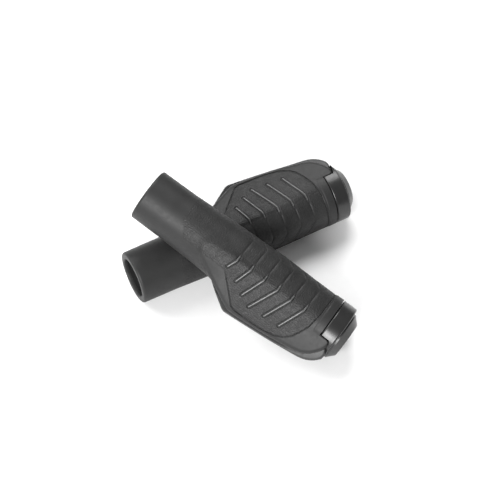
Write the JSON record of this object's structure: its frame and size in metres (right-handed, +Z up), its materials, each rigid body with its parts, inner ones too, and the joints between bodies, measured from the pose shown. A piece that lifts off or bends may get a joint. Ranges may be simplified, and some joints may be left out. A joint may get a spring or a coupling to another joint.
{
  "type": "winged lock-on handlebar grips",
  "caption": "Left and right winged rubber handlebar grips with outer clamp collars and end caps, laid crossed.",
  "frame": {"origin": "middle of the footprint, on the ground that the pair lies on", "axes": "+Z up, +X along the lower left-hand grip's bar axis towards its capped outer end, +Y the way that grip's wing points"},
  "size_m": [0.1344, 0.1242, 0.0714],
  "materials": {
    "cover_rubber": "satin",
    "pad_rubber": "matte, finely pebbled",
    "base_plastic": "satin",
    "core_nylon": "satin",
    "collar_nylon": "semi-gloss",
    "cap_plastic": "satin",
    "black_steel": "black oxide",
    "zinc_steel": "zinc plated"
  },
  "bodies": {
    "left_grip": {"left_core_sleeve": "core_nylon", "left_wing_frame": "core_nylon", "left_grip_cover": "cover_rubber", "left_palm_pad": "pad_rubber", "left_wing_base": "base_plastic", "left_clamp_collar": "collar_nylon", "left_clamp_nut": "zinc_steel"},
    "left_cap": {"left_end_cap": "cap_plastic"},
    "right_grip": {"right_core_sleeve": "core_nylon", "right_wing_frame": "core_nylon", "right_grip_cover": "cover_rubber", "right_palm_pad": "pad_rubber", "right_wing_base": "base_plastic", "right_clamp_collar": "collar_nylon", "right_clamp_nut": "zinc_steel"},
    "right_cap": {"right_end_cap": "cap_plastic"},
    "left_screw": {"left_clamp_bolt": "black_steel", "left_clamp_washer": "zinc_steel"},
    "right_screw": {"right_clamp_bolt": "black_steel", "right_clamp_washer": "zinc_steel"}
  },
  "joints": [
    {"name": "right_grip_lift", "type": "slide", "parent": "left_grip", "child": "right_grip", "axis": [0, 0, 1], "range_m": [0, 0.06]},
    {"name": "left_cap_pull", "type": "slide", "parent": "left_grip", "child": "left_cap", "axis": [0.9999, 0, 0.0134], "range_m": [0, 0.007]},
    {"name": "left_screw_turn", "type": "hinge", "parent": "left_grip", "child": "left_screw", "pos_m": [0.05684, 0.05018, 0.01592], "axis": [0.0132, 0.1771, -0.9841], "range_deg": [0, 1080]},
    {"name": "right_cap_pull", "type": "slide", "parent": "right_grip", "child": "right_cap", "axis": [0.4833, -0.814, -0.3221], "range_m": [0, 0.007]},
    {"name": "right_screw_turn", "type": "hinge", "parent": "right_grip", "child": "right_screw", "pos_m": [0.00226, -0.04906, 0.00598], "axis": [0.3682, 0.5228, -0.7688], "range_deg": [0, 1080]}
  ]
}
